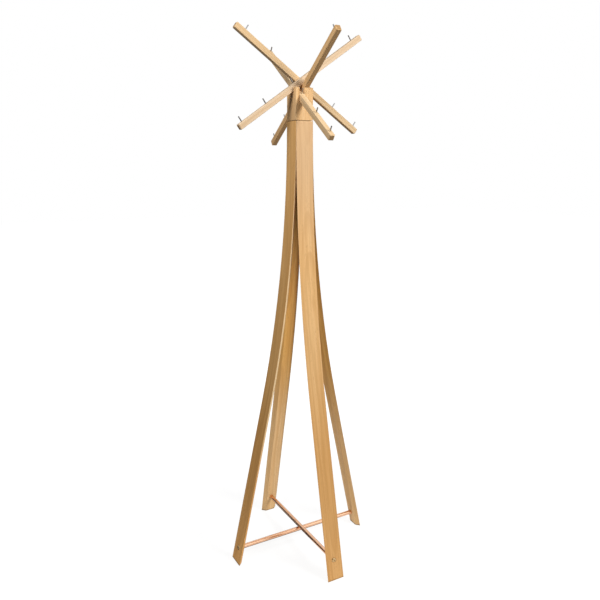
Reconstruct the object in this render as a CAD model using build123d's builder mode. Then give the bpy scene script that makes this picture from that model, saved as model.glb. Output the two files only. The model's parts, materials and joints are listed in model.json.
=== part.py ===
from build123d import *

import os
from math import cos, radians, sin, tan

# Standing coat rack, in millimetres, +Z up, origin on the floor under the column.
# The front leg points along -Y, the left leg along -X.

# Driving dimensions: column and legs
column_width = 61.4
leg_thickness = 13.0
leg_top = 1486.5
leg_straight_top = 10.0
leg_bend_radius = 4290.0
leg_splay = 12.35
leg_edge_round = 0.3
glue_gap = 0.1

# Driving dimensions: core and leg dowels
core_length = 100.0
leg_dowel_radius = 4.0
leg_dowel_in_leg = 7.5
leg_dowel_in_core = 7.0
leg_dowel_drops = (12.0, 30.0)
dowel_fit = 0.05

# Driving dimensions: stretcher tubes, their end plugs and screws
stretcher_radius = 7.5
stretcher_wall = 1.0
stretcher_socket = 5.0
left_right_height = 49.5
crossing_gap = 0.5
stretcher_fit = 0.05
plug_press = 0.02
plug_length = 24.0
screw_radius = 4.0
screw_fit = 0.05
screw_grip = 16.0
screw_head_radius = 8.0
screw_head_height = 4.4
screw_head_rim = 1.0
screw_head_gap = 0.3
screw_seat_step = 0.3
screw_hex_radius = 2.9
screw_hex_depth = 2.2

# Driving dimensions: head block and arms
head_height = 98.6
head_rest_turn = -1.9
head_edge_round = 1.0
seam_gap = 1.5
arm_width = 17.0
arm_height = 18.5
upper_arm_length = 516.0
lower_arm_length = 529.0
arm_tilt = 34.7
pair_rise = 31.0
arm_edge_round = 1.2
arm_end_chamfer = 2.5
arm_gap = 0.2
slot_gap = 0.1

# Driving dimensions: pegs, placed along an arm from its ends and from where it crosses its partner
peg_radius = 2.0
peg_height = 18.0
peg_depth = 12.0
peg_tip_round = 0.8
upper_peg_high_inset = 34.0
upper_peg_low_inset = 18.0
lower_peg_high_inset = 18.0
lower_peg_low_inset = 21.0
peg_middle = 142.0
peg_inner = 28.0
peg_fit = 0.05

# Driving dimensions: dowels in the head
pair_dowel_radius = 4.0
pair_dowel_depth = 12.0
seat_dowel_radius = 2.5
seat_dowel_in_arm = 10.0
seat_dowel_in_head = 8.0
lower_seat_station = 18.0

# Driving dimensions: pivot
pivot_radius = 6.0
pivot_in_head = 40.0
pivot_fit = 0.05
pivot_press = 0.02
pivot_chamfer = 0.8
bush_wall = 2.0
bush_length = 20.0
bush_flange_radius = 12.0
bush_flange = 2.0
bush_fit = 0.03
thrust_washer_radius = 16.0
thrust_play = 0.1
end_play = 0.2
keeper_radius = 12.0
keeper_thickness = 2.0
keeper_screw_radius = 3.0
keeper_screw_grip = 15.0
keeper_head_radius = 5.25
keeper_head_height = 3.3
keeper_hex_radius = 2.3
tapped_spare = 2.0

# Derived sizes
half_column = column_width / 2
splay_tan = tan(radians(leg_splay))
splay_cos = cos(radians(leg_splay))
bend_top = leg_top - leg_straight_top
bend_foot = bend_top - leg_bend_radius * sin(radians(leg_splay))
bend_reach = half_column + leg_bend_radius * (1 - splay_cos)
leg_overrun = 2 * leg_thickness
floor_reach = bend_reach + (bend_foot + leg_overrun) * splay_tan
core_width = column_width - 2 * leg_thickness - 2 * glue_gap
core_bottom = leg_top - core_length
tilt_cos = cos(radians(arm_tilt))
tilt_sin = sin(radians(arm_tilt))
tilt_tan = tan(radians(arm_tilt))
head_bottom = leg_top + seam_gap
head_top = head_bottom + head_height
arm_offset = (arm_gap + arm_width) / 2
lower_crossing = head_top - half_column * tilt_tan + arm_height / 2 / tilt_cos
upper_crossing = lower_crossing + pair_rise
front_back_height = left_right_height + 2 * stretcher_radius + crossing_gap
stretcher_bore = stretcher_radius - stretcher_wall
screw_seat_depth = (screw_head_radius + screw_head_gap) * splay_tan + screw_seat_step

os.makedirs("parts", exist_ok=True)


def save(piece, name):
    piece.part.label = name
    export_step(piece.part, f"parts/{name}.step")


def outward(turn):
    return Vector(1, 0, 0).rotate(Axis.Z, turn)


def up(height):
    return Vector(0, 0, height)


def leg_face_reach(height):
    """Distance from the centre line to a leg's outer face, in its straight lower run."""
    return bend_reach + (bend_foot - height) * splay_tan


def stretcher_reach(height):
    """Distance from the centre line to a stretcher's end, inside its socket in the leg."""
    return leg_face_reach(height) - leg_thickness / splay_cos + stretcher_socket


def screw_seat_reach(height):
    """Distance from the centre line to the flat that a stretcher screw's head bears on."""
    return leg_face_reach(height) - screw_seat_depth


def facing(turn, reach, height):
    """Upright plane square to the outward direction, at a distance from the centre line."""
    return Plane(origin=outward(turn) * reach + up(height), z_dir=outward(turn))


# Legs
def make_leg(name, turn, stretcher_height):
    out = outward(turn)
    upright = Plane(origin=(0, 0, 0), x_dir=out, z_dir=out.cross(up(1)))
    top_section = Plane(origin=out * half_column + up(leg_top), x_dir=out, z_dir=(0, 0, -1))
    outer_half = half_column - glue_gap
    inner_half = outer_half - leg_thickness
    socket = facing(turn, stretcher_reach(stretcher_height), stretcher_height)
    with BuildPart() as leg:
        with BuildLine(upright):
            Line((half_column, leg_top), (half_column, bend_top))
            TangentArc((half_column, bend_top), (bend_reach, bend_foot), tangent=(0, -1))
            Line((bend_reach, bend_foot), (floor_reach, -leg_overrun))
        with BuildSketch(top_section) as section:
            with BuildLine():
                Polyline(
                    (0, -outer_half),
                    (0, outer_half),
                    (-leg_thickness, inner_half),
                    (-leg_thickness, -inner_half),
                    close=True,
                )
            make_face()
            fillet(section.vertices().group_by(Axis.X)[-1], leg_edge_round)
        sweep()
        split(bisect_by=Plane.XY, keep=Keep.TOP)
        for drop in leg_dowel_drops:
            with BuildSketch(facing(turn, half_column - leg_thickness, leg_top - drop)):
                Circle(leg_dowel_radius + dowel_fit)
            extrude(amount=leg_dowel_in_leg + dowel_fit, mode=Mode.SUBTRACT)
        with BuildSketch(socket):
            Circle(stretcher_radius + stretcher_fit)
        extrude(amount=-2 * leg_thickness, mode=Mode.SUBTRACT)
        with BuildSketch(socket):
            Circle(screw_radius + screw_fit)
        extrude(amount=2 * leg_thickness, mode=Mode.SUBTRACT)
        with BuildSketch(facing(turn, screw_seat_reach(stretcher_height), stretcher_height)):
            Circle(screw_head_radius + screw_head_gap)
        extrude(amount=2 * leg_thickness, mode=Mode.SUBTRACT)
    save(leg, name)


leg_turns = {"leg_right": 0, "leg_back": 90, "leg_left": 180, "leg_front": 270}
stretcher_heights = {0: left_right_height, 90: front_back_height, 180: left_right_height, 270: front_back_height}
for leg_name, leg_turn in leg_turns.items():
    make_leg(leg_name, leg_turn, stretcher_heights[leg_turn])

# Core that the leg tops are glued and dowelled to
bush_radius = pivot_radius + pivot_fit + bush_wall
bush_bore_radius = bush_radius + bush_fit
with BuildPart() as column_core:
    with BuildSketch(Plane.XY.offset(core_bottom)):
        Rectangle(core_width, core_width)
        Circle(bush_bore_radius, mode=Mode.SUBTRACT)
    extrude(amount=core_length)
    with BuildSketch(Plane.XY.offset(leg_top)):
        Circle(bush_flange_radius + bush_fit)
    extrude(amount=-bush_flange, mode=Mode.SUBTRACT)
    with BuildSketch(Plane.XY.offset(core_bottom)):
        Circle(bush_flange_radius + bush_fit)
    extrude(amount=bush_flange, mode=Mode.SUBTRACT)
    for dowel_turn in leg_turns.values():
        for dowel_drop in leg_dowel_drops:
            with BuildSketch(facing(dowel_turn, core_width / 2, leg_top - dowel_drop)):
                Circle(leg_dowel_radius + dowel_fit)
            extrude(amount=-leg_dowel_in_core - dowel_fit, mode=Mode.SUBTRACT)
save(column_core, "column_core")

with BuildPart() as leg_dowels:
    for dowel_turn in leg_turns.values():
        for dowel_drop in leg_dowel_drops:
            with BuildSketch(facing(dowel_turn, core_width / 2 - leg_dowel_in_core, leg_top - dowel_drop)):
                Circle(leg_dowel_radius)
            extrude(amount=leg_dowel_in_core + glue_gap + leg_dowel_in_leg)
save(leg_dowels, "leg_dowels")


# Stretchers, the tapped plugs pressed into their ends, and their screws
def make_stretcher(name, turn, height):
    with BuildPart() as stretcher:
        with BuildSketch(facing(turn, 0, height)):
            Circle(stretcher_radius)
            Circle(stretcher_bore, mode=Mode.SUBTRACT)
        extrude(amount=stretcher_reach(height), both=True)
    save(stretcher, name)


make_stretcher("stretcher_left_right", 0, left_right_height)
make_stretcher("stretcher_front_back", 90, front_back_height)

with BuildPart() as stretcher_plugs:
    for plug_turn, plug_height in stretcher_heights.items():
        with BuildSketch(facing(plug_turn, stretcher_reach(plug_height), plug_height)):
            Circle(stretcher_bore - plug_press)
            Circle(screw_radius + screw_fit, mode=Mode.SUBTRACT)
        extrude(amount=-plug_length)
save(stretcher_plugs, "stretcher_plugs")


def make_button_screws(name, seats, radius, head_radius, head_height, hex_radius):
    """Button head screws: each head stands on its seat plane, its shank goes below to the given length."""
    with BuildPart() as screws:
        for seat, length in seats:
            with BuildSketch(seat):
                Circle(radius)
            extrude(amount=-length)
            with BuildSketch(seat):
                Circle(head_radius)
            extrude(amount=head_height)
            rims = screws.edges().filter_by(GeomType.CIRCLE).sort_by(Axis(seat.origin, seat.z_dir))
            fillet(rims[-1], head_height - screw_head_rim)
            with BuildSketch(seat.offset(head_height)):
                RegularPolygon(hex_radius, 6)
            extrude(amount=-screw_hex_depth, mode=Mode.SUBTRACT)
    save(screws, name)


def stretcher_screw_seat(turn, height):
    """Seat plane and shank length of the screw that holds one stretcher end."""
    reach = screw_seat_reach(height)
    return facing(turn, reach, height), reach - stretcher_reach(height) + screw_grip


make_button_screws(
    "stretcher_screws",
    [stretcher_screw_seat(turn, height) for turn, height in stretcher_heights.items()],
    screw_radius,
    screw_head_radius,
    screw_head_height,
    screw_hex_radius,
)


# Pivot: bushes in the core, thrust washer in the seam, pin in the head, keeper washer and screw under the core
def make_bush(name, mouth):
    """Flanged bush whose flange is flush with the mouth plane and whose sleeve goes below it."""
    with BuildPart() as bush:
        with BuildSketch(mouth):
            Circle(bush_flange_radius)
        extrude(amount=-bush_flange)
        with BuildSketch(mouth):
            Circle(bush_radius)
        extrude(amount=-bush_length)
        with BuildSketch(mouth):
            Circle(pivot_radius + pivot_fit)
        extrude(amount=-bush_length, mode=Mode.SUBTRACT)
    save(bush, name)


make_bush("upper_bush", Plane.XY.offset(leg_top))
make_bush("lower_bush", Plane(origin=(0, 0, core_bottom), z_dir=(0, 0, -1)))

with BuildPart() as thrust_washer:
    with BuildSketch(Plane.XY.offset(leg_top)):
        Circle(thrust_washer_radius)
        Circle(pivot_radius + pivot_fit, mode=Mode.SUBTRACT)
    extrude(amount=seam_gap - thrust_play)
save(thrust_washer, "thrust_washer")

pivot_bottom = core_bottom - end_play
with BuildPart() as pivot_pin:
    with BuildSketch(Plane.XY.offset(pivot_bottom)):
        Circle(pivot_radius)
    extrude(amount=head_bottom + pivot_in_head - pivot_bottom)
    chamfer(pivot_pin.edges().sort_by(Axis.Z)[-1], pivot_chamfer)
    with BuildSketch(Plane.XY.offset(pivot_bottom)):
        Circle(keeper_screw_radius + screw_fit)
    extrude(amount=keeper_screw_grip + tapped_spare, mode=Mode.SUBTRACT)
save(pivot_pin, "pivot_pin")

keeper_bottom = pivot_bottom - keeper_thickness
with BuildPart() as keeper_washer:
    with BuildSketch(Plane.XY.offset(keeper_bottom)):
        Circle(keeper_radius)
        Circle(keeper_screw_radius + screw_fit, mode=Mode.SUBTRACT)
    extrude(amount=keeper_thickness)
save(keeper_washer, "keeper_washer")

keeper_seat = Plane(origin=(0, 0, keeper_bottom), z_dir=(0, 0, -1))
make_button_screws(
    "keeper_screw",
    [(keeper_seat, keeper_thickness + keeper_screw_grip)],
    keeper_screw_radius,
    keeper_head_radius,
    keeper_head_height,
    keeper_hex_radius,
)


# Arms: each is named for the side where it rises, and lies beside its partner on the stated hand.
# The upper pair is nicked where its corners would meet the lower pair.
class Arm:
    def __init__(self, name, rise_turn, hand, crossing, seat_station, length, high_inset, low_inset):
        out = outward(rise_turn)
        self.name = name
        self.length = length
        self.peg_stations = (length / 2 - high_inset, -peg_inner, -peg_middle, low_inset - length / 2)
        self.along = out * tilt_cos + up(tilt_sin)
        self.square = up(tilt_cos) - out * tilt_sin
        self.left = outward(rise_turn + 90)
        self.centre = self.left * hand * arm_offset + up(crossing)
        self.inward = self.left * -hand
        self.seat_station = seat_station

    def section(self):
        return Plane(origin=self.centre, x_dir=self.left, z_dir=self.along)

    def top_face(self):
        return Plane(origin=self.centre + self.square * arm_height / 2, x_dir=self.along, z_dir=self.square)

    def inner_face(self):
        return Plane(origin=self.centre + self.inward * arm_width / 2, x_dir=self.along, z_dir=self.inward)

    def slot_side(self):
        wall = self.centre + self.left * (arm_width / 2 + slot_gap)
        return Plane(origin=wall, x_dir=self.along, z_dir=-self.left)

    def seat(self, gap=0.0):
        under = self.centre + self.along * self.seat_station - self.square * (arm_height / 2 + gap)
        return Plane(origin=under, x_dir=self.along, z_dir=self.square)

    def end_chamfers(self):
        """Planes at 45 degrees across the edges of both ends."""
        sides = ((self.left, arm_width / 2), (self.square, arm_height / 2))
        for end in (self.along, -self.along):
            for direction, half in sides:
                for side in (direction, -direction):
                    edge = self.centre + end * (self.length / 2) + side * (half - arm_end_chamfer)
                    yield Plane(origin=edge, z_dir=end + side)


seat_inner_limit = arm_gap / 2 + arm_width + slot_gap + seat_dowel_in_head * tilt_sin
upper_seat_reach = (half_column + seat_inner_limit) / 2
upper_seat_station = (upper_seat_reach + arm_height / 2 * tilt_sin) / tilt_cos
upper_pair = (-1, upper_crossing, -upper_seat_station, upper_arm_length, upper_peg_high_inset, upper_peg_low_inset)
lower_pair = (1, lower_crossing, -lower_seat_station, lower_arm_length, lower_peg_high_inset, lower_peg_low_inset)
upper_arms = (
    Arm("arm_left", 180 + head_rest_turn, *upper_pair),
    Arm("arm_right", head_rest_turn, *upper_pair),
)
lower_arms = (
    Arm("arm_front", 270 + head_rest_turn, *lower_pair),
    Arm("arm_back", 90 + head_rest_turn, *lower_pair),
)
arms = upper_arms + lower_arms

for arm in arms:
    with BuildPart() as bar:
        with BuildSketch(arm.section()):
            RectangleRounded(arm_width, arm_height, arm_edge_round)
        extrude(amount=arm.length / 2, both=True)
        for chamfer_plane in arm.end_chamfers():
            split(bisect_by=chamfer_plane, keep=Keep.BOTTOM)
        with BuildSketch(arm.top_face()):
            with Locations(*[(station, 0) for station in arm.peg_stations]):
                Circle(peg_radius + peg_fit)
        extrude(amount=-peg_depth - peg_fit, mode=Mode.SUBTRACT)
        with BuildSketch(arm.inner_face()):
            Circle(pair_dowel_radius + dowel_fit)
        extrude(amount=-pair_dowel_depth - dowel_fit, mode=Mode.SUBTRACT)
        with BuildSketch(arm.seat()):
            Circle(seat_dowel_radius + dowel_fit)
        extrude(amount=seat_dowel_in_arm + dowel_fit, mode=Mode.SUBTRACT)
        for crossed_arm in lower_arms if arm in upper_arms else ():
            with BuildSketch(crossed_arm.section()):
                Rectangle(arm_width + 2 * slot_gap, arm_height + 2 * slot_gap)
            extrude(amount=crossed_arm.length / 2, both=True, mode=Mode.SUBTRACT)
    save(bar, arm.name)

    with BuildPart() as pegs:
        with BuildSketch(arm.top_face().offset(-peg_depth)):
            with Locations(*[(station, 0) for station in arm.peg_stations]):
                Circle(peg_radius)
        extrude(amount=peg_depth + peg_height)
        peg_tips = pegs.edges().filter_by(GeomType.CIRCLE).group_by(Axis(arm.centre, arm.square))[-1]
        fillet(peg_tips, peg_tip_round)
    save(pegs, arm.name + "_pegs")

# Head block with a slot for each arm, open to the top
slot_reach = 2 * column_width
with BuildPart() as head_block:
    with BuildSketch(Plane.XY.offset(head_bottom)):
        RectangleRounded(column_width, column_width, head_edge_round, rotation=head_rest_turn)
    extrude(amount=head_height)
    for arm in arms:
        with BuildSketch(arm.slot_side()):
            with Locations((0, -arm_height / 2 - slot_gap)):
                Rectangle(2 * slot_reach, slot_reach, align=(Align.CENTER, Align.MIN))
        extrude(amount=arm_width + 2 * slot_gap, mode=Mode.SUBTRACT)
        with BuildSketch(arm.seat(slot_gap)):
            Circle(seat_dowel_radius + dowel_fit)
        extrude(amount=-seat_dowel_in_head - dowel_fit, mode=Mode.SUBTRACT)
    with BuildSketch(Plane.XY.offset(head_bottom)):
        Circle(pivot_radius + pivot_press)
    extrude(amount=pivot_in_head + pivot_press, mode=Mode.SUBTRACT)
save(head_block, "head_block")

# Dowels in the head: one through each crossing, one under each arm
for pair_name, first_arm in (("upper_pair_dowel", upper_arms[0]), ("lower_pair_dowel", lower_arms[0])):
    with BuildPart() as pair_dowel:
        with BuildSketch(first_arm.inner_face().offset(-pair_dowel_depth)):
            Circle(pair_dowel_radius)
        extrude(amount=2 * pair_dowel_depth + arm_gap)
    save(pair_dowel, pair_name)

with BuildPart() as seat_dowels:
    for arm in arms:
        with BuildSketch(arm.seat(slot_gap).offset(-seat_dowel_in_head)):
            Circle(seat_dowel_radius)
        extrude(amount=seat_dowel_in_head + slot_gap + seat_dowel_in_arm)
save(seat_dowels, "seat_dowels")
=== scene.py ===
import json
import math

import bpy
from mathutils import Matrix, Vector

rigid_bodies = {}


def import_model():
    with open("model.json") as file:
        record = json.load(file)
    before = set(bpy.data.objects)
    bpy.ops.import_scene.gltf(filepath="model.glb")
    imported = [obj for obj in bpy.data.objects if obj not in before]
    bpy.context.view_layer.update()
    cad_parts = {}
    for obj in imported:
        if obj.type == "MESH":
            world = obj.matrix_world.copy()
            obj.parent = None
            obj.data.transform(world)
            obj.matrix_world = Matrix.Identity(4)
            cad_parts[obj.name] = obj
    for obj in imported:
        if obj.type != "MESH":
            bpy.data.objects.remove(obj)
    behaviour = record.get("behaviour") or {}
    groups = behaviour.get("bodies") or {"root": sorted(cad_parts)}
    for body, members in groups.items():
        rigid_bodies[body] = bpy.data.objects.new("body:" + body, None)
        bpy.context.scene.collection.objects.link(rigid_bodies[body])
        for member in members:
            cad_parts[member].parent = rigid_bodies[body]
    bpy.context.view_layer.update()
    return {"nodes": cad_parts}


for leftover in list(bpy.data.objects):
    bpy.data.objects.remove(leftover)

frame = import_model()
nodes = frame["nodes"]

# Sizes of the stand that the wood grain follows, in metres
BEND_TOP = 1.4765
BEND_RADIUS = 4.29
SPLAY = math.radians(12.35)
LEG_INNER_FACE = 0.0177
HEAD_TURN = math.radians(-1.9)
HEAD_MIDDLE, HEAD_HALF_HEIGHT = 1.5373, 0.0493
ARM_TILT = math.radians(34.7)
UPPER_ARM_HALF, LOWER_ARM_HALF = 0.258, 0.2645
UPPER_CROSSING, LOWER_CROSSING = 1.6076, 1.5766

# Painted shade and highlight on the legs, and darker end grain: the heights or depths where they start and
# are full, in metres, and their strengths
FOOT_PAINTED_SHADE_FULL, FOOT_PAINTED_SHADE_TOP = 0.35, 0.75
COLUMN_PAINTED_SHADE_LOW, COLUMN_PAINTED_SHADE_FULL, COLUMN_SHADE_STRENGTH = 1.00, 1.40, 0.45
PAINTED_HIGHLIGHT_DEPTH, PAINTED_HIGHLIGHT_STRENGTH = 0.0012, 0.85
PAINTED_HIGHLIGHT_FOOT, PAINTED_HIGHLIGHT_FULL = 0.25, 0.60
INNER_BLEND = 0.0015
INNER_SHADE_LOW, INNER_SHADE_FULL, INNER_SHADE_STRENGTH = 0.85, 1.30, 0.70
END_DEPTH, END_GRAIN_AND_SHADE_STRENGTH = 0.0010, 0.75

# Growth rings, and where the pith lies from the middle of a piece that is sawn straight
OAK_RING_WIDTH, ARM_RING_WIDTH = 0.0042, 0.0085
HEAD_PITH = (0.021, 0.083, 21.3)
INNER_PITH = (0.03, 0.06, 40.0)

# Sheen and relief of the finishes
OAK_SPECULAR = 0.15
GRAIN_DEPTH, GRAIN_STRENGTH = 0.0003, 0.20
DRAWN_DEPTH, DRAWN_STRENGTH = 0.00005, 0.15
COPPER_ROUGHNESS = 0.17
PEG_ROUGHNESS = 0.16
STEEL_ROUGHNESS = 0.28
BRASS_ROUGHNESS = 0.45
BRONZE_ROUGHNESS = 0.34

UP = Vector((0, 0, 1))
LEFT, RIGHT = Vector((-1, 0, 0)), Vector((1, 0, 0))
FRONT, BACK = Vector((0, -1, 0)), Vector((0, 1, 0))
TURNED = Matrix.Rotation(HEAD_TURN, 3, "Z")

# Finishes, as linear colours
OAK_PALE = (0.80, 0.50, 0.230, 1)
OAK_MID = (0.71, 0.41, 0.165, 1)
OAK_DARK = (0.52, 0.265, 0.085, 1)
OAK_PORE = (0.32, 0.150, 0.045, 1)
LEFT_PALE = (0.86, 0.51, 0.200, 1)
LEFT_MID = (0.76, 0.415, 0.142, 1)
# Paler oak for the back and right legs, painted bounce light
BOUNCE_LIT_PALE = (0.88, 0.60, 0.310, 1)
BOUNCE_LIT_MID = (0.82, 0.52, 0.235, 1)
# Painted highlight along the left leg's mitre faces, where its edge catches the light
PAINTED_HIGHLIGHT = (0.97, 0.76, 0.46, 1)
# Painted shade near the feet of the front and left legs
FOOT_PAINTED_SHADE = (0.95, 0.87, 0.74, 1)
# Painted shade higher up on the back and right legs
UPPER_PAINTED_SHADE = (0.86, 0.75, 0.48, 1)
# Painted shade up the front leg's column: duller and darker towards the top
COLUMN_PAINTED_SHADE = (0.58, 0.42, 0.280, 1)
# Painted shade on the inner faces of the legs, deepening up into the column
INNER_SHADE = (0.24, 0.130, 0.045, 1)
NO_TONE = (1, 1, 1, 1)
HEAD_PALE = (0.78, 0.52, 0.270, 1)
HEAD_MID = (0.69, 0.425, 0.200, 1)
ARM_PALE = (0.72, 0.53, 0.320, 1)
ARM_MID = (0.64, 0.44, 0.240, 1)
ARM_DARK = (0.49, 0.30, 0.135, 1)
WARM_ARM_PALE = (0.75, 0.48, 0.235, 1)
WARM_ARM_MID = (0.66, 0.39, 0.170, 1)
ROSY_ARM_PALE = (0.73, 0.56, 0.390, 1)
ROSY_ARM_MID = (0.65, 0.47, 0.295, 1)
ARM_PORE = (0.32, 0.18, 0.070, 1)
# End grain, darker partly by its own colour and partly as painted shade
END_GRAIN_AND_SHADE = (0.30, 0.17, 0.070, 1)
INNER_PALE = (0.76, 0.55, 0.32, 1)
INNER_MID = (0.68, 0.46, 0.25, 1)
INNER_DARK = (0.54, 0.34, 0.17, 1)
COPPER_BRIGHT = (0.92, 0.57, 0.37, 1)
COPPER_DULL = (0.70, 0.34, 0.18, 1)
BRASS_BRIGHT = (0.80, 0.57, 0.29, 1)
BRASS_DULL = (0.60, 0.40, 0.18, 1)
STEEL_BRIGHT = (0.66, 0.64, 0.62, 1)
STEEL_DULL = (0.44, 0.42, 0.40, 1)
BRONZE_BRIGHT = (0.60, 0.42, 0.22, 1)
BRONZE_DULL = (0.42, 0.27, 0.13, 1)
NYLON_BLACK = (0.018, 0.018, 0.020, 1)
NYLON_WORN = (0.035, 0.035, 0.038, 1)
WHITE = (1, 1, 1, 1)

# Kinds of group socket, and the numbers of a Mix node's colour sockets, whose names aren't unique
COLOUR, NUMBER, VECTOR = "NodeSocketColor", "NodeSocketFloat", "NodeSocketVector"
MIX_FACTOR, MIX_FIRST, MIX_SECOND, MIX_RESULT = 0, 6, 7, 2


# Small helpers for node trees
def put(tree, kind, settings=None, **sockets):
    """Adds a node, sets its options, and sets or links its sockets by name, with _ for a space."""
    made = tree.nodes.new(kind)
    for option, value in (settings or {}).items():
        setattr(made, option, value)
    for name, value in sockets.items():
        feed(tree, made.inputs[name.replace("_", " ")], value)
    return made


def feed(tree, socket, value):
    """Links a socket to another, or sets its value."""
    if isinstance(value, bpy.types.NodeSocket):
        tree.links.new(value, socket)
    else:
        socket.default_value = value


def calc(tree, operation, *values):
    made = put(tree, "ShaderNodeMath", {"operation": operation})
    for socket, value in zip(made.inputs, values):
        feed(tree, socket, value)
    return made.outputs[0]


def ramp(tree, value, low, high, to_low=0.0, to_high=1.0):
    """Smooth step of a value from one range to another."""
    made = put(tree, "ShaderNodeMapRange", {"interpolation_type": "SMOOTHSTEP"}, Value=value)
    for name, number in (("From Min", low), ("From Max", high), ("To Min", to_low), ("To Max", to_high)):
        made.inputs[name].default_value = number
    return made.outputs["Result"]


def tint(tree, factor, first, second, blend="MIX"):
    made = put(tree, "ShaderNodeMix", {"data_type": "RGBA", "blend_type": blend})
    for place, value in ((MIX_FACTOR, factor), (MIX_FIRST, first), (MIX_SECOND, second)):
        feed(tree, made.inputs[place], value)
    return made.outputs[MIX_RESULT]


def axes(tree, vector):
    """The X, Y and Z of a vector, by name."""
    return put(tree, "ShaderNodeSeparateXYZ", Vector=vector).outputs


def stretched_noise(tree, vector, cells, detail, roughness=0.5):
    """Noise with so many cells to the metre along each axis."""
    scaled = put(tree, "ShaderNodeVectorMath", {"operation": "MULTIPLY"})
    feed(tree, scaled.inputs[0], vector)
    feed(tree, scaled.inputs[1], cells)
    noise = put(tree, "ShaderNodeTexNoise", Vector=scaled.outputs[0], Scale=1.0)
    feed(tree, noise.inputs["Detail"], detail)
    feed(tree, noise.inputs["Roughness"], roughness)
    return noise.outputs["Fac"]


def new_group(name, inputs, outputs):
    """A shader node group: returns its tree, its input sockets by name and its output node."""
    tree = bpy.data.node_groups.new(name, "ShaderNodeTree")
    for title, kind, value in inputs:
        socket = tree.interface.new_socket(title, in_out="INPUT", socket_type=kind)
        if value is not None:
            socket.default_value = value
    for title, kind in outputs:
        tree.interface.new_socket(title, in_out="OUTPUT", socket_type=kind)
    given = tree.nodes.new("NodeGroupInput")
    result = tree.nodes.new("NodeGroupOutput")
    return tree, {socket.name: socket for socket in given.outputs if socket.name}, result


# Wood grain that follows a leg's bend: x across the leg, y outwards, z up
def bend_group():
    tree, given, result = new_group("follow_bend", [("Vector", VECTOR, None)], [("Vector", VECTOR)])
    spot = axes(tree, given["Vector"])
    drop = calc(tree, "MAXIMUM", calc(tree, "SUBTRACT", BEND_TOP, spot["Z"]), 0.0)
    bend_drop = BEND_RADIUS * math.sin(SPLAY)
    in_bend = calc(tree, "MINIMUM", drop, bend_drop)
    past_bend = calc(tree, "SUBTRACT", drop, in_bend)
    chord = calc(tree, "SQRT", calc(tree, "SUBTRACT", BEND_RADIUS**2, calc(tree, "POWER", in_bend, 2.0)))
    bowed = calc(tree, "SUBTRACT", BEND_RADIUS, chord)
    reach = calc(tree, "MULTIPLY_ADD", past_bend, math.tan(SPLAY), bowed)
    inward = calc(tree, "SUBTRACT", spot["Y"], reach)
    straightened = put(tree, "ShaderNodeCombineXYZ", X=spot["X"], Y=inward, Z=spot["Z"])
    feed(tree, result.inputs["Vector"], straightened.outputs[0])
    return tree


# Oak figure: how far the rings stray in metres, and the parts of a ring, as shares of its width
NOISE_MIDDLE = 0.5
SWAY_CELLS, SWAY_REACH = (7, 7, 1.3), 0.030
WOBBLE_CELLS, WOBBLE_REACH = (60, 60, 5), 0.0012
LATE_WOOD, RING_EDGE, EARLY_WOOD = (0.25, 0.92), (0.97, 0.88), (0.40, 0.05)

# Oak figure: cells to the metre, the range of the noise that shows, and the strength of the tint
CLOUD_CELLS, CLOUD_SHARE = (14, 14, 2.2), 0.45
STREAK_CELLS, STREAK_SHARE = (95, 95, 1.6), 0.75
TONE_RANGE = (0.38, 0.82)
VEIN_CELLS, VEIN_RANGE, VEIN_TINT = (230, 230, 5), (0.48, 0.70), 0.30
FIBRE_CELLS, FIBRE_RANGE, FIBRE_TINT = (520, 520, 14), (0.50, 0.75), 0.26
FLECK_CELLS, FLECK_RANGE, FLECK_TINT = (110, 900, 65), (0.66, 0.76), 0.22
PORE_CELLS, PORE_RANGE, PORE_TINT = (1500, 1500, 75), (0.60, 0.70), 0.52
PORES_ANYWHERE, PORES_IN_EARLY_WOOD = 0.25, 0.75
LATE_WOOD_TINT = 0.30
OAK_ROUGHNESS, FIBRE_ROUGHNESS, PORE_ROUGHNESS = 0.48, 0.14, 0.18
FIBRE_RELIEF, PORE_RELIEF = 0.35, -1.0


# Oak figure: growth rings round a pith on the z axis, fibre, open pores and ray flecks, all along z
def growth_ring(tree, place, ring_width):
    """How far a place lies into its growth ring, from 0 at the inner edge to 1 at the outer."""
    sway = calc(tree, "SUBTRACT", stretched_noise(tree, place, SWAY_CELLS, detail=1.0), NOISE_MIDDLE)
    wobble = calc(tree, "SUBTRACT", stretched_noise(tree, place, WOBBLE_CELLS, detail=2.0), NOISE_MIDDLE)
    spot = axes(tree, place)
    flat = put(tree, "ShaderNodeCombineXYZ", X=spot["X"], Y=spot["Y"])
    distance = put(tree, "ShaderNodeVectorMath", {"operation": "LENGTH"}, Vector=flat.outputs[0])
    radius = calc(tree, "MULTIPLY_ADD", sway, SWAY_REACH, distance.outputs["Value"])
    radius = calc(tree, "MULTIPLY_ADD", wobble, WOBBLE_REACH, radius)
    return calc(tree, "FRACT", calc(tree, "DIVIDE", radius, ring_width))


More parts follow.
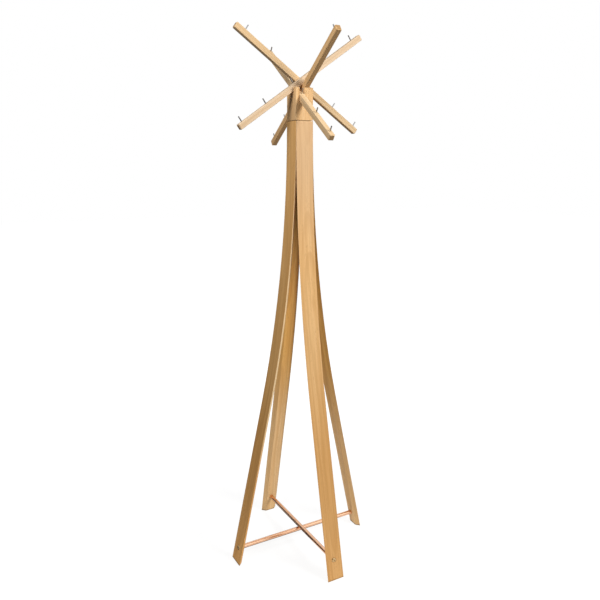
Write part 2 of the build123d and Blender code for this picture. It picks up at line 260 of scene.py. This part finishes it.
def oak_group():
    tree, given, result = new_group(
        "oak_figure",
        [
            ("Vector", VECTOR, None),
            ("Pale", COLOUR, OAK_PALE),
            ("Mid", COLOUR, OAK_MID),
            ("Dark", COLOUR, OAK_DARK),
            ("Pore", COLOUR, OAK_PORE),
            ("Ring Width", NUMBER, OAK_RING_WIDTH),
        ],
        [("Color", COLOUR), ("Roughness", NUMBER), ("Height", NUMBER)],
    )
    place = given["Vector"]
    ring = growth_ring(tree, place, given["Ring Width"])
    late_wood = calc(tree, "MULTIPLY", ramp(tree, ring, *LATE_WOOD), ramp(tree, ring, *RING_EDGE))
    early_wood = ramp(tree, ring, *EARLY_WOOD)

    cloud = stretched_noise(tree, place, CLOUD_CELLS, detail=2.0)
    streak = stretched_noise(tree, place, STREAK_CELLS, detail=3.0)
    vein = stretched_noise(tree, place, VEIN_CELLS, detail=2.0)
    fibre = stretched_noise(tree, place, FIBRE_CELLS, detail=3.0, roughness=0.6)
    flecks = ramp(tree, stretched_noise(tree, place, FLECK_CELLS, detail=1.0), *FLECK_RANGE)
    pores = ramp(tree, stretched_noise(tree, place, PORE_CELLS, detail=1.0), *PORE_RANGE)
    pore_share = calc(tree, "MULTIPLY_ADD", early_wood, PORES_IN_EARLY_WOOD, PORES_ANYWHERE)
    pores = calc(tree, "MULTIPLY", pores, pore_share)

    tone = calc(tree, "MULTIPLY_ADD", streak, STREAK_SHARE, calc(tree, "MULTIPLY", cloud, CLOUD_SHARE))
    colour = tint(tree, ramp(tree, tone, *TONE_RANGE), given["Pale"], given["Mid"])
    for mask, strength, finish in (
        (late_wood, LATE_WOOD_TINT, "Dark"),
        (ramp(tree, vein, *VEIN_RANGE), VEIN_TINT, "Dark"),
        (ramp(tree, fibre, *FIBRE_RANGE), FIBRE_TINT, "Dark"),
        (flecks, FLECK_TINT, "Pale"),
        (pores, PORE_TINT, "Pore"),
    ):
        colour = tint(tree, calc(tree, "MULTIPLY", mask, strength), colour, given[finish])
    sheen = calc(tree, "MULTIPLY_ADD", fibre, FIBRE_ROUGHNESS, OAK_ROUGHNESS)
    sheen = calc(tree, "MULTIPLY_ADD", pores, PORE_ROUGHNESS, sheen)
    height = calc(tree, "MULTIPLY_ADD", pores, PORE_RELIEF, calc(tree, "MULTIPLY", fibre, FIBRE_RELIEF))
    feed(tree, result.inputs["Color"], colour)
    feed(tree, result.inputs["Roughness"], sheen)
    feed(tree, result.inputs["Height"], height)
    return tree


# Drawn or turned metal: fine lines along z, handling marks and a little tarnish
LINE_CELLS, LINE_TINT = (2600, 2600, 18), 0.10
MARK_CELLS, MARK_RANGE, MARK_ROUGHNESS = (45, 45, 30), (0.45, 0.70), 0.12
TARNISH_CELLS, TARNISH_RANGE = (16, 16, 11), (0.48, 0.72)
TARNISH_TINT, TARNISH_ROUGHNESS = 0.45, 0.10


def metal_group():
    tree, given, result = new_group(
        "handled_metal",
        [
            ("Vector", VECTOR, None),
            ("Bright", COLOUR, None),
            ("Dull", COLOUR, None),
            ("Base Roughness", NUMBER, STEEL_ROUGHNESS),
        ],
        [("Color", COLOUR), ("Roughness", NUMBER), ("Height", NUMBER)],
    )
    place = given["Vector"]
    lines = stretched_noise(tree, place, LINE_CELLS, detail=2.0)
    marks = ramp(tree, stretched_noise(tree, place, MARK_CELLS, detail=4.0, roughness=0.6), *MARK_RANGE)
    tarnish = ramp(tree, stretched_noise(tree, place, TARNISH_CELLS, detail=3.0), *TARNISH_RANGE)
    dulled = calc(tree, "MULTIPLY_ADD", tarnish, TARNISH_TINT, calc(tree, "MULTIPLY", lines, LINE_TINT))
    rough = calc(tree, "MULTIPLY_ADD", marks, MARK_ROUGHNESS, given["Base Roughness"])
    rough = calc(tree, "MULTIPLY_ADD", tarnish, TARNISH_ROUGHNESS, rough)
    feed(tree, result.inputs["Color"], tint(tree, dulled, given["Bright"], given["Dull"]))
    feed(tree, result.inputs["Roughness"], rough)
    feed(tree, result.inputs["Height"], lines)
    return tree


follow_bend = bend_group()
oak_figure = oak_group()
handled_metal = metal_group()


def grain_place(tree, across, along, middle=Vector()):
    """Object coordinates from a piece's middle, turned so that x runs across it and z along it."""
    turn = Matrix((across, along.cross(across), along))
    place = put(tree, "ShaderNodeTexCoord").outputs["Object"]
    mapping = put(tree, "ShaderNodeMapping", Vector=place, Location=turn @ -middle)
    feed(tree, mapping.inputs["Rotation"], turn.to_euler("XYZ"))
    return mapping.outputs[0]


def new_material(name):
    made = bpy.data.materials.new(name)
    made.use_nodes = True
    tree = made.node_tree
    tree.nodes.clear()
    surface = put(tree, "ShaderNodeBsdfPrincipled")
    put(tree, "ShaderNodeOutputMaterial", Surface=surface.outputs[0])
    return made, tree, surface


def use_group(tree, group, vector, **values):
    """Places a group in a material, with values for its sockets by name, with _ for a space."""
    return put(tree, "ShaderNodeGroup", {"node_tree": group}, Vector=vector, **values).outputs


def raise_surface(tree, surface, height, depth, strength):
    bump = put(tree, "ShaderNodeBump", Height=height, Distance=depth, Strength=strength)
    feed(tree, surface.inputs["Normal"], bump.outputs[0])


def finish_oak(tree, surface, colour, figure):
    feed(tree, surface.inputs["Base Color"], colour)
    feed(tree, surface.inputs["Roughness"], figure["Roughness"])
    feed(tree, surface.inputs["Specular IOR Level"], OAK_SPECULAR)
    raise_surface(tree, surface, figure["Height"], GRAIN_DEPTH, GRAIN_STRENGTH)


def oak_material(name, across, along, pith, middle=Vector(), half_length=None, **figure_values):
    """Straight oak with its grain along a piece, and darker end grain at the ends of one whose length is
    given, partly the wood's own colour and partly painted shade.
    """
    made, tree, surface = new_material(name)
    place = grain_place(tree, across, along, middle)
    in_log = put(tree, "ShaderNodeMapping", Vector=place, Location=pith).outputs[0]
    figure = use_group(tree, oak_figure, in_log, **figure_values)
    colour = figure["Color"]
    # End grain, darker partly by its own colour and partly as painted shade
    if half_length:
        station = calc(tree, "ABSOLUTE", axes(tree, place)["Z"])
        end = ramp(tree, station, half_length - END_DEPTH, half_length, 0.0, END_GRAIN_AND_SHADE_STRENGTH)
        colour = tint(tree, end, colour, END_GRAIN_AND_SHADE)
    finish_oak(tree, surface, colour, figure)
    return made


def leg_material(name, outward, pith, lower_painted_shade, upper_painted_shade, column_shade, painted_highlight, **figure_values):
    """Bent oak with painted shade near the foot and higher up, painted shade up the column, a painted
    highlight along the mitre faces, and painted shade on the inner face up into the column."""
    made, tree, surface = new_material(name)
    place = use_group(tree, follow_bend, grain_place(tree, outward.cross(UP), UP))["Vector"]
    in_log = put(tree, "ShaderNodeMapping", Vector=place, Location=pith).outputs[0]
    figure = use_group(tree, oak_figure, in_log, **figure_values)
    spot = axes(tree, place)
    # Painted shade by height: near the foot on the front and left legs, higher up on the back and right legs
    tone = tint(tree, ramp(tree, spot["Z"], FOOT_PAINTED_SHADE_FULL, FOOT_PAINTED_SHADE_TOP), lower_painted_shade, upper_painted_shade)
    colour = tint(tree, 1.0, figure["Color"], tone, "MULTIPLY")
    # Painted shade up the column, used on the front leg: duller and darker towards the top
    column_shaded = ramp(tree, spot["Z"], COLUMN_PAINTED_SHADE_LOW, COLUMN_PAINTED_SHADE_FULL, 0.0, column_shade)
    colour = tint(tree, column_shaded, colour, COLUMN_PAINTED_SHADE)
    # Painted highlight along the mitre faces, used on the left leg only
    off_mitre = calc(tree, "SUBTRACT", spot["Y"], calc(tree, "ABSOLUTE", spot["X"]))
    edge = ramp(tree, calc(tree, "ABSOLUTE", off_mitre), PAINTED_HIGHLIGHT_DEPTH, 0.0, 0.0, painted_highlight)
    edge = calc(tree, "MULTIPLY", edge, ramp(tree, spot["Z"], PAINTED_HIGHLIGHT_FOOT, PAINTED_HIGHLIGHT_FULL))
    colour = tint(tree, edge, colour, PAINTED_HIGHLIGHT)
    # Painted shade on the inner faces, deepening up into the column
    inside = ramp(tree, spot["Y"], LEG_INNER_FACE + INNER_BLEND, LEG_INNER_FACE)
    shaded = ramp(tree, spot["Z"], INNER_SHADE_LOW, INNER_SHADE_FULL, 0.0, INNER_SHADE_STRENGTH)
    colour = tint(tree, calc(tree, "MULTIPLY", inside, shaded), colour, INNER_SHADE)
    finish_oak(tree, surface, colour, figure)
    return made


def metal_material(name, across, along, bright, dull, roughness):
    made, tree, surface = new_material(name)
    place = grain_place(tree, across, along)
    finish = use_group(tree, handled_metal, place, Bright=bright, Dull=dull, Base_Roughness=roughness)
    feed(tree, surface.inputs["Base Color"], finish["Color"])
    feed(tree, surface.inputs["Roughness"], finish["Roughness"])
    feed(tree, surface.inputs["Metallic"], 1.0)
    raise_surface(tree, surface, finish["Height"], DRAWN_DEPTH, DRAWN_STRENGTH)
    return made


# Black nylon: the range of the wear that shows in its colour and in its sheen, and the sheen's own range
WEAR_CELLS = (180, 180, 180)
WEAR_COLOUR_RANGE, WEAR_SHEEN_RANGE, NYLON_ROUGHNESS = (0.4, 0.7), (0.3, 0.7), (0.42, 0.58)


def nylon_material():
    made, tree, surface = new_material("washer_nylon")
    place = put(tree, "ShaderNodeTexCoord").outputs["Object"]
    wear = stretched_noise(tree, place, WEAR_CELLS, detail=3.0)
    colour = tint(tree, ramp(tree, wear, *WEAR_COLOUR_RANGE), NYLON_BLACK, NYLON_WORN)
    feed(tree, surface.inputs["Base Color"], colour)
    feed(tree, surface.inputs["Roughness"], ramp(tree, wear, *WEAR_SHEEN_RANGE, *NYLON_ROUGHNESS))
    return made


def finish_node(node, material):
    nodes[node].data.materials.clear()
    nodes[node].data.materials.append(material)


# Legs: flat-sawn oak bent to the curve, each with a pith of its own behind the outer face
# Columns: name, outward side, pith, painted shade near the foot, painted shade higher up, strength of the
# painted column shade, strength of the painted edge highlight, pale and mid oak
LEGS = (
    ("leg_front", FRONT, (0.012, 0.070, 3.1), FOOT_PAINTED_SHADE, NO_TONE, COLUMN_SHADE_STRENGTH, 0.0, OAK_PALE, OAK_MID),
    ("leg_left", LEFT, (-0.016, 0.088, 7.4), FOOT_PAINTED_SHADE, NO_TONE, 0.0, PAINTED_HIGHLIGHT_STRENGTH, LEFT_PALE, LEFT_MID),
    ("leg_back", BACK, (0.020, 0.075, 11.2), NO_TONE, UPPER_PAINTED_SHADE, 0.0, 0.0, BOUNCE_LIT_PALE, BOUNCE_LIT_MID),
    ("leg_right", RIGHT, (-0.009, 0.094, 15.9), NO_TONE, UPPER_PAINTED_SHADE, 0.0, 0.0, BOUNCE_LIT_PALE, BOUNCE_LIT_MID),
)
for leg, outward, pith, lower, upper, column_shade, painted_highlight, pale, mid in LEGS:
    finish_node(leg, leg_material(
        leg + "_oak", outward, pith, lower, upper, column_shade, painted_highlight, Pale=pale, Mid=mid))

# Head block and arms: straight oak, the grain along each arm
finish_node("head_block", oak_material(
    "head_oak", TURNED @ RIGHT, UP, HEAD_PITH, UP * HEAD_MIDDLE, HEAD_HALF_HEIGHT,
    Pale=HEAD_PALE, Mid=HEAD_MID))

ARMS = (
    ("arm_left", LEFT, UPPER_CROSSING, UPPER_ARM_HALF, (0.034, 0.052, 4.1), ARM_PALE, ARM_MID),
    ("arm_right", RIGHT, UPPER_CROSSING, UPPER_ARM_HALF, (-0.042, 0.047, 7.8), ROSY_ARM_PALE, ROSY_ARM_MID),
    ("arm_front", FRONT, LOWER_CROSSING, LOWER_ARM_HALF, (0.041, 0.041, 10.3), WARM_ARM_PALE, WARM_ARM_MID),
    ("arm_back", BACK, LOWER_CROSSING, LOWER_ARM_HALF, (-0.032, 0.058, 13.6), ARM_PALE, ARM_MID),
)
for arm, side, crossing, half_length, pith, pale, mid in ARMS:
    rise = TURNED @ side
    along = rise * math.cos(ARM_TILT) + UP * math.sin(ARM_TILT)
    across = UP.cross(rise)
    finish_node(arm, oak_material(
        arm + "_oak", across, along, pith, UP * crossing, half_length,
        Pale=pale, Mid=mid, Dark=ARM_DARK, Pore=ARM_PORE, Ring_Width=ARM_RING_WIDTH))
    finish_node(arm + "_pegs", metal_material(
        arm + "_peg_steel", across, along.cross(across), STEEL_BRIGHT, STEEL_DULL, PEG_ROUGHNESS))

# Hidden wood
inner_oak = oak_material(
    "inner_wood", RIGHT, UP, INNER_PITH, Pale=INNER_PALE, Mid=INNER_MID, Dark=INNER_DARK)
for piece in ("column_core", "leg_dowels", "upper_pair_dowel", "lower_pair_dowel", "seat_dowels"):
    finish_node(piece, inner_oak)

# Copper stretchers, the other metal and the nylon washer
finish_node("stretcher_left_right", metal_material(
    "copper_left_right", UP, RIGHT, COPPER_BRIGHT, COPPER_DULL, COPPER_ROUGHNESS))
finish_node("stretcher_front_back", metal_material(
    "copper_front_back", UP, BACK, COPPER_BRIGHT, COPPER_DULL, COPPER_ROUGHNESS))
plain_steel = metal_material("plain_steel", RIGHT, UP, STEEL_BRIGHT, STEEL_DULL, STEEL_ROUGHNESS)
for piece in ("stretcher_plugs", "pivot_pin", "keeper_washer", "keeper_screw"):
    finish_node(piece, plain_steel)
finish_node("stretcher_screws", metal_material(
    "screw_brass", RIGHT, UP, BRASS_BRIGHT, BRASS_DULL, BRASS_ROUGHNESS))
bush_bronze = metal_material("bush_bronze", RIGHT, UP, BRONZE_BRIGHT, BRONZE_DULL, BRONZE_ROUGHNESS)
for piece in ("upper_bush", "lower_bush"):
    finish_node(piece, bush_bronze)
finish_node("thrust_washer", nylon_material())

# Camera at the photograph's viewing angle
CAMERA_TURN = math.radians(-29.34)
CAMERA_DISTANCE = 2.0114
CAMERA_HEIGHT = 1.3367
CAMERA_PITCH = math.radians(-12.075)
CAMERA_ROLL = math.radians(0.124)
CAMERA_SENSOR_MM = 36.0
CAMERA_LENS_MM = 36.546
CAMERA_SHIFT = 0.00086

camera_data = bpy.data.cameras.new("camera")
camera_data.sensor_width = CAMERA_SENSOR_MM
camera_data.lens = CAMERA_LENS_MM
camera_data.shift_x = CAMERA_SHIFT
camera = bpy.data.objects.new("camera", camera_data)
camera.location = (
    CAMERA_DISTANCE * math.sin(CAMERA_TURN),
    -CAMERA_DISTANCE * math.cos(CAMERA_TURN),
    CAMERA_HEIGHT,
)
aim = Matrix.Rotation(CAMERA_TURN, 3, "Z") @ Matrix.Rotation(math.pi / 2 + CAMERA_PITCH, 3, "X")
camera.rotation_euler = (aim @ Matrix.Rotation(CAMERA_ROLL, 3, "Z")).to_euler()
bpy.context.scene.collection.objects.link(camera)
bpy.context.scene.camera = camera

# Soft lamps: name, place, aim, diameter in metres, power in watts
LAMPS = (
    ("key_lamp", (1.3, -2.5, 2.7), (0, 0, 1.2), 1.4, 109),
    ("back_lamp", (0.5, 2.8, 1.5), (0, 0, 0.9), 1.6, 32),
    ("side_lamp", (-1.5, -0.6, 2.4), (0, 0, 1.2), 0.9, 27),
    ("floor_lamp", (0, 0, 0.004), (0, 0, 1.2), 1.2, 2.6),
)
for name, place, target, diameter, power in LAMPS:
    lamp_data = bpy.data.lights.new(name, "AREA")
    lamp_data.shape = "DISK"
    lamp_data.size = diameter
    lamp_data.energy = power
    lamp = bpy.data.objects.new(name, lamp_data)
    lamp.location = place
    lamp.rotation_euler = (Vector(target) - Vector(place)).to_track_quat("-Z", "Y").to_euler()
    lamp.visible_camera = False
    lamp.visible_glossy = False
    bpy.context.scene.collection.objects.link(lamp)

# The room's brightness in polished metal, and the parts of the view direction over which it changes
AMBIENT = 0.05
MIRROR_FRONT, MIRROR_BACK, FRONT_TO_BACK = 0.20, 0.80, (-0.35, 0.55)
MIRROR_LEFT, LOW_LEFT = 0.05, (-0.60, -0.20)
MIRROR_HIGH_LEFT, HIGH_LEFT = 0.06, (-0.56, -0.33)
OVERHEAD = (0.05, 0.60)
MIRROR_LAMP, MIRROR_LAMP_SPREAD, MIRROR_LAMP_LEVEL = Vector((0.41, -0.73, 0.55)), (0.82, 0.97), 1.5


def mix_shaders(tree, factor, first, second):
    made = put(tree, "ShaderNodeMixShader", Fac=factor)
    tree.links.new(first.outputs[0], made.inputs[1])
    tree.links.new(second.outputs[0], made.inputs[2])
    return made


def mirrored_room(tree):
    """The room as polished metal sees it: white behind and overhead, dim in front and dark on the left, with
    the glow of a lamp on the front right."""
    toward = put(tree, "ShaderNodeTexCoord").outputs["Generated"]
    to_lamp = put(tree, "ShaderNodeVectorMath", {"operation": "DOT_PRODUCT"})
    feed(tree, to_lamp.inputs[0], toward)
    feed(tree, to_lamp.inputs[1], MIRROR_LAMP.normalized())
    lamp_glow = ramp(tree, to_lamp.outputs["Value"], *MIRROR_LAMP_SPREAD, 0.0, MIRROR_LAMP_LEVEL)
    side = axes(tree, toward)
    walls = ramp(tree, side["Y"], *FRONT_TO_BACK, MIRROR_FRONT, MIRROR_BACK)
    walls = calc(tree, "MULTIPLY", walls, ramp(tree, side["X"], *LOW_LEFT, MIRROR_LEFT, 1.0))
    ceiling = ramp(tree, side["Z"], *OVERHEAD)
    ceiling = calc(tree, "MULTIPLY", ceiling, ramp(tree, side["X"], *HIGH_LEFT, MIRROR_HIGH_LEFT, 1.0))
    return calc(tree, "MAXIMUM", calc(tree, "MAXIMUM", walls, ceiling), lamp_glow)


# The room: white to the camera, as above to polished metal, and almost dark to the rest
def studio_room():
    made = bpy.data.worlds.new("studio")
    made.use_nodes = True
    tree = made.node_tree
    tree.nodes.clear()
    ray = put(tree, "ShaderNodeLightPath").outputs
    room_light = put(tree, "ShaderNodeBackground", Color=WHITE, Strength=AMBIENT)
    mirror_view = put(tree, "ShaderNodeBackground", Color=WHITE, Strength=mirrored_room(tree))
    white_wall = put(tree, "ShaderNodeBackground", Color=WHITE, Strength=1.0)
    room = mix_shaders(tree, ray["Is Glossy Ray"], room_light, mirror_view)
    seen = calc(tree, "MAXIMUM", ray["Is Camera Ray"], ray["Is Transmission Ray"])
    room = mix_shaders(tree, seen, room, white_wall)
    put(tree, "ShaderNodeOutputWorld", Surface=room.outputs[0])
    # Not sampled as a lamp: the room gives little light, and sampling it leaves dots on the arms
    made.cycles.sampling_method = "NONE"
    return made


bpy.context.scene.world = studio_room()

# The floor: its size and tone, and the edges of its shadow and of the painted shadow that polished metal sees
# on it, in metres
FLOOR_SIZE = 30.0
FLOOR_TONE = (0.15, 0.15, 0.15, 1)
SHADOW_NEAR, SHADOW_FAR, SHADOWED_WHITE = 0.40, 0.95, 0.90
MIRROR_FLOOR = 0.80
DARK_FRONT, DARK_FULL, DARK_FADING, DARK_BACK = -0.06, 0.0, 0.20, 0.45
DARK_RIGHT, DARK_RIGHT_FULL = 0.22, 0.176
MIRROR_SIDE_NEAR, MIRROR_SIDE_FAR = 2.5, 5.0


def mirrored_floor(tree, place, from_middle):
    """The floor as polished metal sees it: pale round the stand, with a painted shadow from its middle to the
    back and left, dark over the middle distance, and pale far off on the key lamp's side."""
    spot = axes(tree, place)
    # Painted shadow that polished metal sees on the floor, behind and left of the middle
    painted_shadow = ramp(tree, spot["Y"], DARK_FRONT, DARK_FULL)
    painted_shadow = calc(tree, "MULTIPLY", painted_shadow, ramp(tree, spot["Y"], DARK_BACK, DARK_FADING))
    painted_shadow = calc(tree, "MULTIPLY", painted_shadow, ramp(tree, spot["X"], DARK_RIGHT, DARK_RIGHT_FULL))
    mirrored = ramp(tree, from_middle, SHADOW_NEAR, SHADOW_FAR, MIRROR_FLOOR, 0.0)
    mirrored = calc(tree, "MULTIPLY", mirrored, calc(tree, "SUBTRACT", 1.0, painted_shadow))
    return calc(tree, "MAXIMUM", mirrored, ramp(tree, spot["X"], MIRROR_SIDE_NEAR, MIRROR_SIDE_FAR))


# The floor: matt, with a glow that makes it white to the camera, a little less so under the stand
def floor_material():
    made = bpy.data.materials.new("floor_paint")
    made.use_nodes = True
    tree = made.node_tree
    tree.nodes.clear()
    ray = put(tree, "ShaderNodeLightPath").outputs
    place = put(tree, "ShaderNodeTexCoord").outputs["Object"]
    from_middle = put(tree, "ShaderNodeVectorMath", {"operation": "LENGTH"}, Vector=place).outputs["Value"]
    matt = put(tree, "ShaderNodeBsdfDiffuse", Color=FLOOR_TONE)
    seen_white = ramp(tree, from_middle, SHADOW_NEAR, SHADOW_FAR, SHADOWED_WHITE, 1.0)
    glow_level = calc(tree, "MULTIPLY", mirrored_floor(tree, place, from_middle), ray["Is Glossy Ray"])
    glow_level = calc(tree, "MULTIPLY_ADD", seen_white, ray["Is Camera Ray"], glow_level)
    glow = put(tree, "ShaderNodeEmission", Color=WHITE, Strength=glow_level)
    painted = put(tree, "ShaderNodeAddShader")
    tree.links.new(matt.outputs[0], painted.inputs[0])
    tree.links.new(glow.outputs[0], painted.inputs[1])
    put(tree, "ShaderNodeOutputMaterial", Surface=painted.outputs[0])
    # Not sampled as a lamp, for the same reason
    made.cycles.emission_sampling = "NONE"
    return made


bpy.ops.object.select_all(action="DESELECT")
bpy.ops.mesh.primitive_plane_add(size=FLOOR_SIZE)
floor = bpy.context.object
floor.name = "floor"
floor.data.materials.append(floor_material())

bpy.context.scene.view_settings.view_transform = "Standard"
